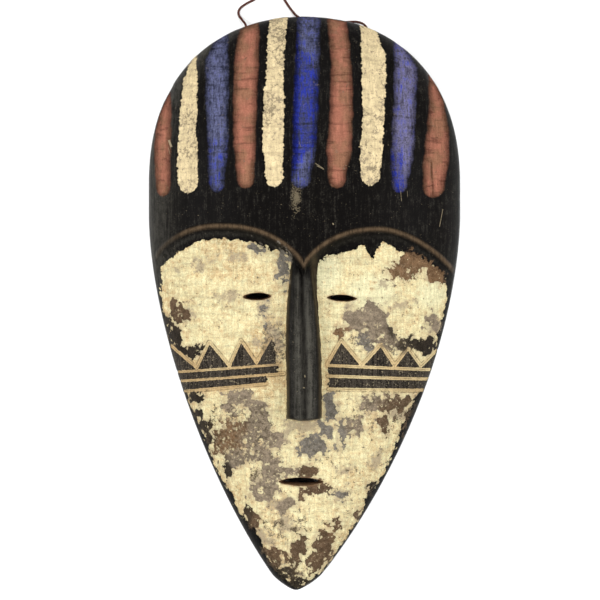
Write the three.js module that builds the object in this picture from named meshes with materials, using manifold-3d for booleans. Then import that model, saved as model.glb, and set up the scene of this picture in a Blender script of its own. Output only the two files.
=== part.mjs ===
// A long carved wooden face mask with a heart-shaped face, lying face up on the rim of its hollow back.
// Millimetres. +X is to the right of the face, +Y toward the forehead, +Z out of the face.
import * as THREE from 'three';
import { mergeVertices } from 'three/addons/utils/BufferGeometryUtils.js';
import Module from 'manifold-3d';

const wasm = await Module();
wasm.setup();

// Outline seen from the front
const HALF_WIDTH = 108.6;
const TOP_Y = 200;
const CHIN_Y = -200;
const TEMPLE_Y = 82; // the top rounds off above here
const JAW_Y = 60; // the sides draw in to the chin below here
const TOP_CURVE = { rounding: 2.3, fullness: 0.46 };
const JAW_APEX = 268; // from JAW_Y down to where the two sides would meet
const JAW_CURVE = { rounding: 1.7, fullness: 0.86 };
const CHIN_TIP = 12; // height of the rounded tip
const CHIN_DRIFT = 5.9; // the chin was carved this far left of the nose

// Thicknesses
const EDGE_Z = 13; // height of the side wall all round
const FOREHEAD_Z = 62;
const FOREHEAD_Y = 45; // where the forehead stands highest
const BROW_FACE_Z = 51; // the face under the brow, and at the chin
const CHIN_FACE_Z = 28;
const DOME_RISE = { rounding: 2.4, fullness: 0.6 }; // how the forehead falls away to the top
const DOME_SIDE = { rounding: 2.6, fullness: 0.55 }; // and to the sides
const FACE_SIDE = { rounding: 4, fullness: 0.65 };
const FACE_END = { rounding: 14, fullness: 0.5 };
const BACK_INSET = 3.2; // the sides lean in toward the back
const WALL_INSET = 14; // width of the rim around the hollow
const WALL_DEPTH = 12;
const CEILING_LEAD = 1.03; // the hollow's ceiling falls away to the top a little before the dome
const HOLLOW_END = { rounding: 6, fullness: 0.5 };
const HOLLOW_SIDE = { rounding: 2.6, fullness: 0.5 };

// Brow ridges: each side falls away from its peak in an outer and an inner half arc
const BROW_Y = 40;
const BROW_MEETING_X = -0.4;
const LEFT_BROW = {
  x: -57.6,
  y: 53.5,
  outer: { reach: 46.1, drop: 21.6, rounding: 2.3, fullness: 0.8 },
  inner: { reach: 57.2, drop: 27.5, rounding: 2.3, fullness: 0.8 },
};
const RIGHT_BROW = {
  x: 52,
  y: 51.3,
  inner: { reach: 52.4, drop: 25.3, rounding: 2.3, fullness: 0.8 },
  outer: { reach: 52.4, drop: 30.0, rounding: 1.7, fullness: 0.85 },
};
const BROW_SLOPE = 1.6; // steepest slope that the bead is measured square to
const BEAD_HALF = 1.8;
const BEAD_HEIGHT = 1.3;
const BEAD_FADE = 0.06; // the bead fades out over this share of the half width
const COVE_WIDTH = 9;
const COVE_ROUNDING = 1.7;
const BROW_REACH = 66; // rows of the surface bend along the brow within this distance

// Nose
const NOSE_TOP_Y = 34;
const NOSE_TIP_Y = -81.3;
const NOSE_HALF = 12.2;
const NOSE_TAPER = 4.1; // narrower by this much on each side at the top
const NOSE_TIP_X = -0.3;
const NOSE_TOP_X = -2.1;
const NOSE_Z = 55;
const NOSE_RISE = 1.5; // higher by this much at the top
const NOSE_SIDE = { rounding: 7, fullness: 0.6 };
const NOSE_GROOVE = 2.6;
const NOSE_GROOVE_SHARE = 0.13; // half width of the groove, as a share of the nose's

// Painted flutes over the forehead: centre at the low end, centre at the top, width, low end
const FLUTES = [
  { low: -98.4, high: -98.2, width: 13.2, end: 74.3 },
  { low: -81.0, high: -79.6, width: 14.3, end: 77.1 },
  { low: -60.7, high: -60.7, width: 14.6, end: 77.0 },
  { low: -40.8, high: -39.8, width: 16.4, end: 79.5 },
  { low: -20.9, high: -18.1, width: 14.9, end: 80.5 },
  { low: -0.7, high: 2.8, width: 17.1, end: 80.0 },
  { low: 23.4, high: 24.4, width: 16.4, end: 79.5 },
  { low: 45.7, high: 48.5, width: 16.4, end: 82.0 },
  { low: 66.7, high: 70.5, width: 15.7, end: 76.5 },
  { low: 90.4, high: 93.5, width: 17.0, end: 73.5 },
];
const FLUTE_DEPTH = 1.8;
const FLUTE_SPREAD = 0.56; // half width of the cutter, as a share of the painted width
const FLUTE_CURVE = 1.25; // the channel comes out of the wood just inside the cutter's edges
const FLUTE_ROUND = 12; // length over which the low end of a flute fades out

// Cheek cuts
const CUT_WIDTH = 2.8;
const CUT_DEPTH = 1.1;
const CUT_STEP = 9;
const CHEEK_LINES = [
  [[-89.0, -47.8], [-16.1, -42.2]],
  [[-86.5, -54.1], [-14.3, -48.5]],
  [[-84.5, -61.1], [-26.9, -55.5]],
  [[16.2, -42.9], [86.9, -46.1]],
  [[16.2, -50.3], [85.5, -52.7]],
  [[16.9, -59.3], [82.7, -60.4]],
];
const CHEEK_ZIGZAGS = [
  [[-92.8, -29.7], [-74.8, -45.0], [-66.0, -26.9], [-52.0, -43.6], [-44.0, -25.5]],
  [[-42.2, -27.6], [-33.2, -41.5], [-23.4, -24.1]],
  [[16.2, -41.5], [25.3, -25.5], [39.9, -42.9], [53.0, -28.6]],
  [[53.0, -28.6], [62.5, -43.3], [72.0, -31.1], [81.0, -43.6], [92.5, -32.5]],
];

// Slits right through: centre, width, height
const SLITS = [
  { x: -32.7, y: 4.9, width: 19.3, height: 4.9 },
  { x: 25.8, y: 3.6, width: 20.2, height: 4.6 },
  { x: -2.4, y: -123.9, width: 31.2, height: 6.2 },
];

// Hanging string
const CORD_RADIUS = 0.9;
const CORD_HOLE_RADIUS = 1.5;
const CORD_HOLES = [{ x: -40.3, z: 5.4 }, { x: 44.5, z: 5.4 }];
const HOLE_FROM_Y = 165;
const HOLE_TO_Y = 205;
const KNOT_RADIUS = 2.7;
const KNOTS = [
  { name: 'cord_knot_left', x: -40.3, y: 171.6, z: 5.4 },
  { name: 'cord_knot_right', x: 44.5, y: 170.2, z: 5.4 },
];
const CORD_ROUTE = [
  [-40.3, 174.7, 5.4], [-40.3, 184.0, 5.4], [-40.4, 191.0, 5.3], [-41.3, 195.2, 4.3],
  [-43.6, 198.4, 2.4], [-45.6, 201.2, 1.2], [-46.2, 203.8, 1.0], [-45.0, 206.6, 1.0],
  [-41.4, 209.4, 1.0], [-36.2, 212.2, 1.0], [-29.0, 216.6, 1.0], [-24.0, 219.6, 1.0],
  [-20.7, 220.4, 1.0], [-18.0, 218.6, 1.0], [-15.4, 214.8, 1.0], [-12.2, 209.8, 1.0],
  [-8.7, 204.9, 1.0], [-4.6, 200.7, 1.0], [1.2, 198.5, 1.0], [9.0, 198.0, 1.0],
  [18.0, 197.5, 1.0], [26.0, 196.8, 1.1], [31.8, 197.0, 1.6], [36.8, 197.0, 2.6],
  [41.2, 195.4, 4.2], [44.0, 191.6, 5.1], [44.5, 187.0, 5.4], [44.5, 180.0, 5.4], [44.5, 173.3, 5.4],
];

function clamp(value, low, high) {
  return Math.min(Math.max(value, low), high);
}

function smooth(value) {
  const t = clamp(value, 0, 1);
  return t * t * (3 - 2 * t);
}

function between(a, b, t) {
  return a + (b - a) * t;
}

// Values from one end to just before the other
function steps(from, to, count) {
  return Array.from({ length: count }, (_, k) => between(from, to, k / count));
}

// A rounded fall from 1 at t = 0 to 0 at t = 1
function rounded(t, { rounding, fullness }) {
  return (1 - t ** rounding) ** fullness;
}

// Half the width of the mask at height y, for an outline drawn in by inset
function halfWidth(y, inset = 0) {
  const full = y * (TOP_Y / (TOP_Y - inset));
  const scale = (HALF_WIDTH - inset) / HALF_WIDTH;
  if (full > TEMPLE_Y) {
    const s = clamp((full - TEMPLE_Y) / (TOP_Y - TEMPLE_Y), 0, 1);
    return scale * HALF_WIDTH * rounded(s, TOP_CURVE);
  }
  const s = clamp((JAW_Y - full) / JAW_APEX, 0, 1);
  const tip = Math.sqrt(1 - (1 - clamp((full - CHIN_Y) / CHIN_TIP, 0, 1)) ** 2);
  return scale * HALF_WIDTH * rounded(s, JAW_CURVE) * tip;
}

function middle(y) {
  return -CHIN_DRIFT * (Math.min(y, 0) / CHIN_Y) ** 2;
}

// How far out a point lies, from 0 on the middle line to 1 at the edge
function outness(x, y, inset = 0) {
  return clamp(Math.abs(x - middle(y)) / Math.max(halfWidth(y, inset), 0.01), 0, 1);
}

// Height of the domed blank before the face is cut into it
function foreheadHeight(x, y) {
  const rise = clamp((y - FOREHEAD_Y) / (TOP_Y - FOREHEAD_Y), 0, 1);
  const crest = (FOREHEAD_Z - EDGE_Z) * rounded(rise, DOME_RISE);
  return EDGE_Z + crest * rounded(outness(x, y), DOME_SIDE);
}

// Height of the flatter face, which slopes down to the chin
function faceHeight(x, y) {
  const fall = clamp((FOREHEAD_Y - y) / (FOREHEAD_Y - CHIN_Y), 0, 1);
  const crest = between(BROW_FACE_Z, CHIN_FACE_Z, fall) - EDGE_Z;
  return EDGE_Z + crest * rounded(fall, FACE_END) * rounded(outness(x, y), FACE_SIDE);
}

function browY(x) {
  const brow = x < BROW_MEETING_X ? LEFT_BROW : RIGHT_BROW;
  const half = Math.abs(x) > Math.abs(brow.x) ? brow.outer : brow.inner;
  const d = clamp(Math.abs(x - brow.x) / half.reach, 0, 1);
  return brow.y - half.drop * (1 - rounded(d, half));
}

// Distance above the brow line, measured square to it
function aboveBrow(x, y) {
  const slope = clamp((browY(x + 0.5) - browY(x - 0.5)), -BROW_SLOPE, BROW_SLOPE);
  return (y - browY(x)) / Math.hypot(1, slope);
}

// The front without nose, flutes and cuts: dome above the brow, then bead, cove and face
function frontHeight(x, y) {
  const above = aboveBrow(x, y);
  const lift = clamp((above + COVE_WIDTH) / (COVE_WIDTH - BEAD_HALF), 0, 1) ** COVE_ROUNDING;
  const fade = smooth((1 - outness(x, y)) / BEAD_FADE);
  const bead = BEAD_HEIGHT * fade * Math.sqrt(Math.max(0, 1 - (above / BEAD_HALF) ** 2));
  return between(faceHeight(x, y), foreheadHeight(x, y), lift) + bead;
}

// A box whose grid points are moved by place(column, row, top), with columns and rows counted from 0
function formedBox(columns, rows, place) {
  const geometry = new THREE.BoxGeometry(2, 2, 2, columns, rows, 1);
  const corner = geometry.attributes.position;
  for (let i = 0; i < corner.count; i += 1) {
    const across = Math.round((corner.getX(i) + 1) * columns / 2);
    const along = Math.round((corner.getY(i) + 1) * rows / 2);
    corner.setXYZ(i, ...place(across, along, corner.getZ(i) > 0));
  }
  return geometry;
}

function solid(geometry) {
  geometry.deleteAttribute('normal');
  geometry.deleteAttribute('uv');
  const merged = mergeVertices(geometry, 1e-4);
  const corners = merged.index.array;
  const kept = [];
  for (let i = 0; i < corners.length; i += 3) {
    const [a, b, c] = corners.slice(i, i + 3);
    if (a !== b && b !== c && c !== a) kept.push(a, b, c);
  }
  return new wasm.Manifold(new wasm.Mesh({
    numProp: 3,
    vertProperties: merged.attributes.position.array,
    triVerts: new Uint32Array(kept),
  }));
}

function geometryOf(shape) {
  const mesh = shape.getMesh();
  const geometry = new THREE.BufferGeometry();
  geometry.setAttribute('position', new THREE.BufferAttribute(mesh.vertProperties, 3));
  geometry.setIndex(new THREE.BufferAttribute(mesh.triVerts, 1));
  geometry.computeVertexNormals();
  return geometry;
}

// Grid lines of the body: close together at the chin, the brow and the top
const CHIN_ROWS = [0, 0.6, 2.2, 5, 9, 14].map((h) => CHIN_Y + h);
const TOP_ROWS = [50, 38, 28, 19.5, 12.5, 7, 3.1, 0.8, 0].map((h) => TOP_Y - h);
const BROW_ROWS = [-9, -7, -5, -3.2, -1.8, -1, 0, 1, 1.8].map((h) => BROW_Y + h);
const BODY_ROWS = [
  ...CHIN_ROWS, ...steps(-178, 26, 18), ...BROW_ROWS, ...steps(45, 150, 9), ...TOP_ROWS,
];
const BODY_COLUMNS = 26;

// A row near the brow bends along it, and rows further off lie straight
function bentRow(row, across) {
  const bend = 1 - smooth((Math.abs(row - BROW_Y) - 12) / (BROW_REACH - 12));
  const x = across * halfWidth(row);
  return row + bend * (browY(x) - BROW_Y);
}

function bodySolid() {
  return solid(formedBox(BODY_COLUMNS, BODY_ROWS.length - 1, (column, rowIndex, top) => {
    const edge = column === 0 || column === BODY_COLUMNS;
    const across = top || edge ? Math.sin((column / BODY_COLUMNS - 0.5) * Math.PI) : 0;
    const y = bentRow(BODY_ROWS[rowIndex], across);
    const x = middle(y) + across * halfWidth(y);
    if (top) return [x, y, frontHeight(x, y)];
    const scale = (TOP_Y - BACK_INSET) / TOP_Y;
    return [x * (HALF_WIDTH - BACK_INSET) / HALF_WIDTH, y * scale, 0];
  }));
}

// The scooped-out back, closed below the rim
function hollowSolid() {
  const inner = TOP_Y - WALL_INSET;
  const columns = 16;
  const rows = 22;
  return solid(formedBox(columns, rows, (column, rowIndex, top) => {
    const across = Math.sin((column / columns - 0.5) * Math.PI);
    const y = inner * Math.sin((rowIndex / rows - 0.5) * Math.PI);
    const x = middle(y) + across * halfWidth(y, WALL_INSET);
    if (!top) return [x, y, -5];
    const face = faceHeight(middle(y), Math.min(y, FOREHEAD_Y));
    const dome = foreheadHeight(0, y * CEILING_LEAD) - FOREHEAD_Z;
    const step = smooth((y - 20) / 50) * (FOREHEAD_Z - BROW_FACE_Z);
    const depth = Math.max(face + dome + step - WALL_DEPTH, 2) * rounded(Math.abs(y / inner), HOLLOW_END);
    return [x, y, 1 + depth * rounded(Math.abs(across), HOLLOW_SIDE)];
  }));
}

function noseHalf(y) {
  return NOSE_HALF - NOSE_TAPER * clamp((y + 35) / 55, 0, 1.2) ** 1.6;
}

// Two rounded ridges with a groove between them, ending square above the lip
function noseSolid() {
  const across = [-1, -0.97, -0.9, -0.75, -0.5, -0.25, -0.09, 0, 0.09, 0.25, 0.5, 0.75, 0.9, 0.97, 1];
  const rows = 12;
  return solid(formedBox(across.length - 1, rows, (column, rowIndex, top) => {
    const t = across[column];
    const y = between(NOSE_TIP_Y + 1.8 * t * t, NOSE_TOP_Y, rowIndex / rows);
    const x = between(NOSE_TIP_X, NOSE_TOP_X, smooth((y + 60) / 80)) + t * noseHalf(y);
    const floor = frontHeight(x, y);
    if (!top) return [x, y, Math.min(floor, faceHeight(x, y)) - 5];
    if (Math.abs(t) === 1) return [x, y, Math.min(floor, faceHeight(x, y)) - 1.5];
    const ridge = NOSE_Z + NOSE_RISE * (y - NOSE_TIP_Y) / (NOSE_TOP_Y - NOSE_TIP_Y);
    const groove = NOSE_GROOVE * Math.exp(-((t / NOSE_GROOVE_SHARE) ** 2));
    return [x, y, between(faceHeight(x, y), ridge, rounded(Math.abs(t), NOSE_SIDE)) - groove];
  }));
}

// A shallow gouge-cut channel with a rounded low end, running out over the top edge
function fluteSolid(flute) {
  const columns = 4;
  const rows = 11;
  const length = TOP_Y + 4 - flute.end;
  return solid(formedBox(columns, rows, (column, rowIndex, top) => {
    const t = 2 * column / columns - 1;
    const run = length * (rowIndex / rows) ** 1.4;
    const y = flute.end + run;
    const x = between(flute.low, flute.high, run / length) + t * flute.width * FLUTE_SPREAD;
    const surface = foreheadHeight(x, Math.min(y, TOP_Y));
    if (top) return [x, y, surface + 8];
    const end = 1 - FLUTE_CURVE * (1 - clamp(run / FLUTE_ROUND, 0, 1)) ** 2;
    return [x, y, surface - FLUTE_DEPTH * (end - FLUTE_CURVE * t * t)];
  }));
}

// A V-shaped knife cut along a straight line on the cheek
function cutSolid(from, to) {
  const length = Math.hypot(to[0] - from[0], to[1] - from[1]);
  const side = [-(to[1] - from[1]) / length, (to[0] - from[0]) / length];
  const rows = Math.ceil(length / CUT_STEP);
  return solid(formedBox(2, rows, (column, rowIndex, top) => {
    const t = (1 - column) * CUT_WIDTH * 0.65;
    const x = between(from[0], to[0], rowIndex / rows) + t * side[0];
    const y = between(from[1], to[1], rowIndex / rows) + t * side[1];
    const surface = faceHeight(x, y);
    if (top) return [x, y, surface + 3];
    return [x, y, surface - CUT_DEPTH * (column === 1 ? 1 : -0.3)];
  }));
}

// A slit pointed at both ends, right through the wall
function slitSolid(slit) {
  const shape = new THREE.Shape();
  shape.moveTo(-slit.width / 2, 0);
  shape.quadraticCurveTo(0, -slit.height, slit.width / 2, 0);
  shape.quadraticCurveTo(0, slit.height, -slit.width / 2, 0);
  const geometry = new THREE.ExtrudeGeometry(shape, { depth: 80, bevelEnabled: false, curveSegments: 8 });
  geometry.translate(slit.x, slit.y, -5);
  return solid(geometry);
}

function cordHoleSolid(hole) {
  const length = HOLE_TO_Y - HOLE_FROM_Y;
  const geometry = new THREE.CylinderGeometry(CORD_HOLE_RADIUS, CORD_HOLE_RADIUS, length, 12);
  geometry.translate(hole.x, (HOLE_FROM_Y + HOLE_TO_Y) / 2, hole.z);
  return solid(geometry);
}

function maskGeometry() {
  let mask = bodySolid();
  for (const flute of FLUTES) mask = mask.subtract(fluteSolid(flute));
  for (const [from, to] of CHEEK_LINES) mask = mask.subtract(cutSolid(from, to));
  for (const zigzag of CHEEK_ZIGZAGS) {
    for (let k = 1; k < zigzag.length; k += 1) mask = mask.subtract(cutSolid(zigzag[k - 1], zigzag[k]));
  }
  mask = mask.add(noseSolid()).subtract(hollowSolid());
  for (const slit of SLITS) mask = mask.subtract(slitSolid(slit));
  for (const hole of CORD_HOLES) mask = mask.subtract(cordHoleSolid(hole));
  return geometryOf(mask);
}

function cordGeometry() {
  const section = new THREE.Shape();
  for (let k = 0; k < 8; k += 1) {
    const angle = k * Math.PI / 4;
    const point = [CORD_RADIUS * Math.cos(angle), CORD_RADIUS * Math.sin(angle)];
    if (k === 0) section.moveTo(...point);
    else section.lineTo(...point);
  }
  const route = CORD_ROUTE.map((point) => new THREE.Vector3(...point));
  const path = new THREE.CatmullRomCurve3(route, false, 'centripetal');
  return new THREE.ExtrudeGeometry(section, { steps: 48, extrudePath: path, bevelEnabled: false });
}

const group = new THREE.Group();

const mask = new THREE.Mesh(
  maskGeometry(),
  new THREE.MeshStandardMaterial({ color: 0x2a2620, roughness: 0.45, metalness: 0 }),
);
mask.name = 'mask';
group.add(mask);

const cord = new THREE.Mesh(
  cordGeometry(),
  new THREE.MeshStandardMaterial({ color: 0x4a241c, roughness: 0.9, metalness: 0 }),
);
cord.name = 'hanging_cord';
group.add(cord);

for (const place of KNOTS) {
  const knot = new THREE.Mesh(
    new THREE.SphereGeometry(KNOT_RADIUS, 10, 6),
    new THREE.MeshStandardMaterial({ color: 0x43211a, roughness: 0.9, metalness: 0 }),
  );
  knot.name = place.name;
  knot.position.set(place.x, place.y, place.z);
  group.add(knot);
}

export default group;
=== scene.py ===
import math
import bpy
import numpy as np
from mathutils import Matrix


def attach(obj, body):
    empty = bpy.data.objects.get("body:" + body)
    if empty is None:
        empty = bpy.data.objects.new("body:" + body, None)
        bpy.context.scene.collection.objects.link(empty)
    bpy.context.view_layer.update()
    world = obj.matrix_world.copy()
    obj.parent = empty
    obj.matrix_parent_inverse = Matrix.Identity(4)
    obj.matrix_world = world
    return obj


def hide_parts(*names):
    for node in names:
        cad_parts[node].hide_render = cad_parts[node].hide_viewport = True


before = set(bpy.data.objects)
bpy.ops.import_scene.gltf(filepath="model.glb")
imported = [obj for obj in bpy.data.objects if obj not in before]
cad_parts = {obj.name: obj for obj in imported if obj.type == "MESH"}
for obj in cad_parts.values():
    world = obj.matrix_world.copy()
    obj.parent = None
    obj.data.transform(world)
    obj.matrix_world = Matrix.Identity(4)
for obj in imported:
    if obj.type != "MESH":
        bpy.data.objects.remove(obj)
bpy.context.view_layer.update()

# The camera looks straight down on the mask, which lies face up with its chin toward the viewer.
# A long lens from high up keeps the raised forehead and the low chin at nearly one scale.
MM = 0.001
PICTURE_WIDTH = 418.8 * MM
PICTURE_MIDDLE = (-3.1 * MM, 2.4 * MM)
SENSOR = 36.0
CAMERA_HEIGHT = 4.0
FOCUS_HEIGHT = 13 * MM

camera_data = bpy.data.cameras.new("camera")
camera_data.sensor_width = SENSOR
camera_data.lens = SENSOR * (CAMERA_HEIGHT - FOCUS_HEIGHT) / PICTURE_WIDTH
camera = bpy.data.objects.new("camera", camera_data)
camera.location = (*PICTURE_MIDDLE, CAMERA_HEIGHT)
bpy.context.scene.collection.objects.link(camera)
bpy.context.scene.camera = camera

# The hanging cord is a thin string of three plies, twisted hard and dyed dark red-brown.
# It goes out through a small hole at each side of the top rim and lies loose over the edge.
CORD_DIAMETER = 1.8 * MM
CORD_ROUTE = [
    (-0.0403, 0.1747, 0.0054), (-0.0403, 0.1840, 0.0054), (-0.0404, 0.1910, 0.0053),
    (-0.0413, 0.1952, 0.0043), (-0.0436, 0.1984, 0.0024), (-0.0456, 0.2012, 0.0012),
    (-0.0462, 0.2038, 0.0010), (-0.0450, 0.2066, 0.0010), (-0.0414, 0.2094, 0.0010),
    (-0.0362, 0.2122, 0.0010), (-0.0290, 0.2166, 0.0010), (-0.0240, 0.2196, 0.0010),
    (-0.0207, 0.2204, 0.0010), (-0.0180, 0.2186, 0.0010), (-0.0154, 0.2148, 0.0010),
    (-0.0122, 0.2098, 0.0010), (-0.0087, 0.2049, 0.0010), (-0.0046, 0.2007, 0.0010),
    (0.0012, 0.1985, 0.0010), (0.0090, 0.1980, 0.0010), (0.0180, 0.1975, 0.0010),
    (0.0260, 0.1968, 0.0011), (0.0318, 0.1970, 0.0016), (0.0368, 0.1970, 0.0026),
    (0.0412, 0.1954, 0.0042), (0.0440, 0.1916, 0.0051), (0.0445, 0.1870, 0.0054),
    (0.0445, 0.1800, 0.0054), (0.0445, 0.1733, 0.0054),
]
PLIES = 3
PLY_PITCH = 4.2 * MM
PLY_GROOVE = 0.26
PLY_ROUND = 0.6
CURVE_STEPS = 24
CORD_STEP = 0.35 * MM
CORD_SIDES = 12
CORD_DYE = (0.052, 0.014, 0.009, 1)
CORD_WORN = (0.12, 0.045, 0.03, 1)
FIBRE = 0.35 * MM
FIBRE_DEPTH = 0.15 * MM


def part_way(p, q, start, end, now):
    """Where a straight move from p at start to q at end has come to now."""
    return p + (q - p) * (now - start) / (end - start)


def smooth_line(points, step):
    """A smooth curve through all the points, as points one step apart, and its length."""
    points = np.array(points)
    first = 2 * points[0] - points[1]
    last = 2 * points[-1] - points[-2]
    points = np.vstack([first, points, last])
    line = []
    for four in zip(points, points[1:], points[2:], points[3:]):
        t = np.cumsum([0] + [math.sqrt(np.linalg.norm(q - p)) for p, q in zip(four, four[1:])])
        for now in np.linspace(t[1], t[2], CURVE_STEPS, endpoint=False):
            ab, bc, cd = (part_way(four[k], four[k + 1], t[k], t[k + 1], now) for k in range(3))
            abc = part_way(ab, bc, t[0], t[2], now)
            bcd = part_way(bc, cd, t[1], t[3], now)
            line.append(part_way(abc, bcd, t[1], t[2], now))
    line = np.vstack([line, points[-2]])
    run = np.concatenate([[0], np.cumsum(np.linalg.norm(np.diff(line, axis=0), axis=1))])
    even = np.linspace(0, run[-1], int(run[-1] / step) + 1)
    return np.stack([np.interp(even, run, line[:, k]) for k in range(3)], axis=1), run[-1]


def twisted_string(name, line, radius):
    """A closed tube along the line, with a groove between each two plies."""
    ways = np.gradient(line, axis=0)
    ways /= np.linalg.norm(ways, axis=1, keepdims=True)
    aside = np.cross(ways[0], (0.3, 0.5, 0.8))
    run = 0
    corners = []
    crowns = []
    for k, (point, ahead) in enumerate(zip(line, ways)):
        aside = aside - ahead * aside.dot(ahead)
        aside /= np.linalg.norm(aside)
        up = np.cross(ahead, aside)
        run += np.linalg.norm(point - line[k - 1]) if k else 0
        for angle in np.arange(CORD_SIDES) * 2 * math.pi / CORD_SIDES:
            crown = abs(math.cos((angle - run / PLY_PITCH * 2 * math.pi) * PLIES / 2))
            reach = radius * (1 - PLY_GROOVE + PLY_GROOVE * crown ** PLY_ROUND)
            corners.append(point + reach * (math.cos(angle) * aside + math.sin(angle) * up))
            crowns.append(crown)
    last = len(line) - 1
    faces = [tuple(reversed(range(CORD_SIDES))), tuple(last * CORD_SIDES + k for k in range(CORD_SIDES))]
    for k in range(last):
        for j in range(CORD_SIDES):
            a = k * CORD_SIDES + j
            b = k * CORD_SIDES + (j + 1) % CORD_SIDES
            faces.append((a, b, b + CORD_SIDES, a + CORD_SIDES))
    mesh = bpy.data.meshes.new(name)
    mesh.from_pydata([tuple(c) for c in corners], [], faces)
    mesh.attributes.new("ply", "FLOAT", "POINT").data.foreach_set("value", crowns)
    mesh.shade_smooth()
    piece = bpy.data.objects.new(name, mesh)
    bpy.context.scene.collection.objects.link(piece)
    return piece


def node(tree, kind, inputs, **settings):
    """One shader node, each input linked or set by its name or number."""
    made = tree.nodes.new(kind)
    for key, value in settings.items():
        setattr(made, key, value)
    for key, value in inputs.items():
        if isinstance(value, bpy.types.NodeSocket):
            tree.links.new(value, made.inputs[key])
        else:
            made.inputs[key].default_value = value
    return made


def vectors(tree, operation, *inputs):
    """One vector calculation."""
    return node(tree, "ShaderNodeVectorMath", dict(enumerate(inputs)), operation=operation)


def new_material(name):
    """An empty material with its tree, its Principled shader and its Object coordinates."""
    material = bpy.data.materials.new(name)
    material.use_nodes = True
    tree = material.node_tree
    where = node(tree, "ShaderNodeTexCoord", {}).outputs["Object"]
    return material, tree, tree.nodes["Principled BSDF"], where


def noise(tree, where, size, detail=4.0, roughness=0.6, output="Fac"):
    """Cloudy noise whose features are about size across, a length or one for each axis."""
    stretch = size if isinstance(size, tuple) else (size, size, size)
    scaled = vectors(tree, "MULTIPLY", where, tuple(1 / s for s in stretch)).outputs[0]
    look = {"Vector": scaled, "Scale": 1.0, "Detail": detail, "Roughness": roughness}
    return node(tree, "ShaderNodeTexNoise", look).outputs[output]


def attribute(tree, name, output="Fac"):
    """What the mesh keeps under this name at each point."""
    return node(tree, "ShaderNodeAttribute", {}, attribute_name=name).outputs[output]


def sums(tree, operation, a, b=0.0, c=0.0):
    """One calculation with numbers."""
    return node(tree, "ShaderNodeMath", {0: a, 1: b, 2: c}, operation=operation).outputs[0]


def ramp(tree, value, low, high, to_low=0.0, to_high=1.0):
    """A soft step from to_low at low to to_high at high."""
    return node(tree, "ShaderNodeMapRange", {
        "Value": value, "From Min": low, "From Max": high, "To Min": to_low, "To Max": to_high,
    }, interpolation_type="SMOOTHSTEP").outputs["Result"]


def blend(tree, share, low, high, how="MIX"):
    """Two colours mixed by share."""
    return node(tree, "ShaderNodeMix", {0: share, 6: low, 7: high}, data_type="RGBA",
                blend_type=how).outputs[2]


def bump(tree, height, distance, strength, normal=None):
    """A surface raised by up to distance, on top of what normal already raises."""
    inputs = {"Height": height, "Distance": distance, "Strength": strength}
    if normal:
        inputs["Normal"] = normal
    return node(tree, "ShaderNodeBump", inputs).outputs["Normal"]


string_look, tree, shader, where = new_material("dyed_string")
fibre = noise(tree, where, FIBRE, 5.0, 0.7)
rubbed_off = ramp(tree, sums(tree, "MULTIPLY", fibre, attribute(tree, "ply")), 0.3, 0.75)
tree.links.new(blend(tree, rubbed_off, CORD_DYE, CORD_WORN), shader.inputs["Base Color"])
shader.inputs["Roughness"].default_value = 0.85
shader.inputs["Specular IOR Level"].default_value = 0.25
tree.links.new(bump(tree, fibre, FIBRE_DEPTH, 0.8), shader.inputs["Normal"])

cord_line, cord_length = smooth_line(CORD_ROUTE, CORD_STEP)
cord = twisted_string("hanging_string", cord_line, CORD_DIAMETER / 2)
cord.data.materials.append(string_look)
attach(cord, "root")
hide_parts("hanging_cord")

# The two end knots are tied in that same string behind the holes, inside the hollow, and keep
# it from slipping out. Each is one pulled-tight overhand knot with a short cut end.
KNOT_PLACES = {"left": (-0.0403, 0.1716, 0.0054), "right": (0.0445, 0.1702, 0.0054)}
KNOT_LOOP = 0.66 * MM
KNOT_STRING = 0.72 * MM
KNOT_GAP = 0.2
KNOT_DEPTH = 1.25
KNOT_STEPS = 72
TAIL_LENGTH = 5.0 * MM
TAIL_WAY = (0.1, -0.8, -0.25)
TAIL_STEPS = 14

for side, place in KNOT_PLACES.items():
    turn = np.linspace(KNOT_GAP, 2 * math.pi - KNOT_GAP, KNOT_STEPS)
    wide = np.sin(turn) + 2 * np.sin(2 * turn)
    high = np.cos(turn) - 2 * np.cos(2 * turn)
    deep = -KNOT_DEPTH * np.sin(3 * turn)
    loop = KNOT_LOOP * np.stack([wide, deep, high], axis=1)
    tail = loop[-1] + np.linspace(0.1, 1, TAIL_STEPS)[:, None] * TAIL_LENGTH * np.array(TAIL_WAY)
    line, _ = smooth_line(np.vstack([loop, tail])[::3] + np.array(place), CORD_STEP)
    knot = twisted_string(f"string_knot_{side}", line, KNOT_STRING)
    knot.data.materials.append(string_look)
    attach(knot, "root")
    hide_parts(f"cord_knot_{side}")

# The mask is carved from one block of light wood and hollowed behind to a wall of about 12 mm.
# The forehead is domed, the face sinks under two brow ridges and slopes down to the chin, and
# the nose stands up from it. These are the carver's measures, in millimetres.
HALF_WIDTH = 108.6
TOP_Y = 200.0
CHIN_Y = -200.0
TEMPLE_Y = 82.0
JAW_Y = 60.0
JAW_APEX = 268.0
CHIN_TIP = 12.0
CHIN_DRIFT = 5.9
EDGE_Z = 13.0
FOREHEAD_Z = 62.0
FOREHEAD_Y = 45.0
BROW_FACE_Z = 51.0
CHIN_FACE_Z = 28.0
BROW_Y = 40.0
BROW_REACH = 66.0
BROW_MEETING_X = -0.4
BEAD_HALF = 1.8
BEAD_HEIGHT = 1.3
COVE_WIDTH = 9.0
NOSE_TOP_Y = 34.0
NOSE_TIP_Y = -81.3
NOSE_TIP_BOW = 1.8
NOSE_HALF = 12.2
NOSE_TAPER = 4.1
NOSE_Z = 55.0
NOSE_GROOVE = 2.6
BACK_INSET = 3.2
WALL_INSET = 14.0
WALL_DEPTH = 12.0

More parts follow.
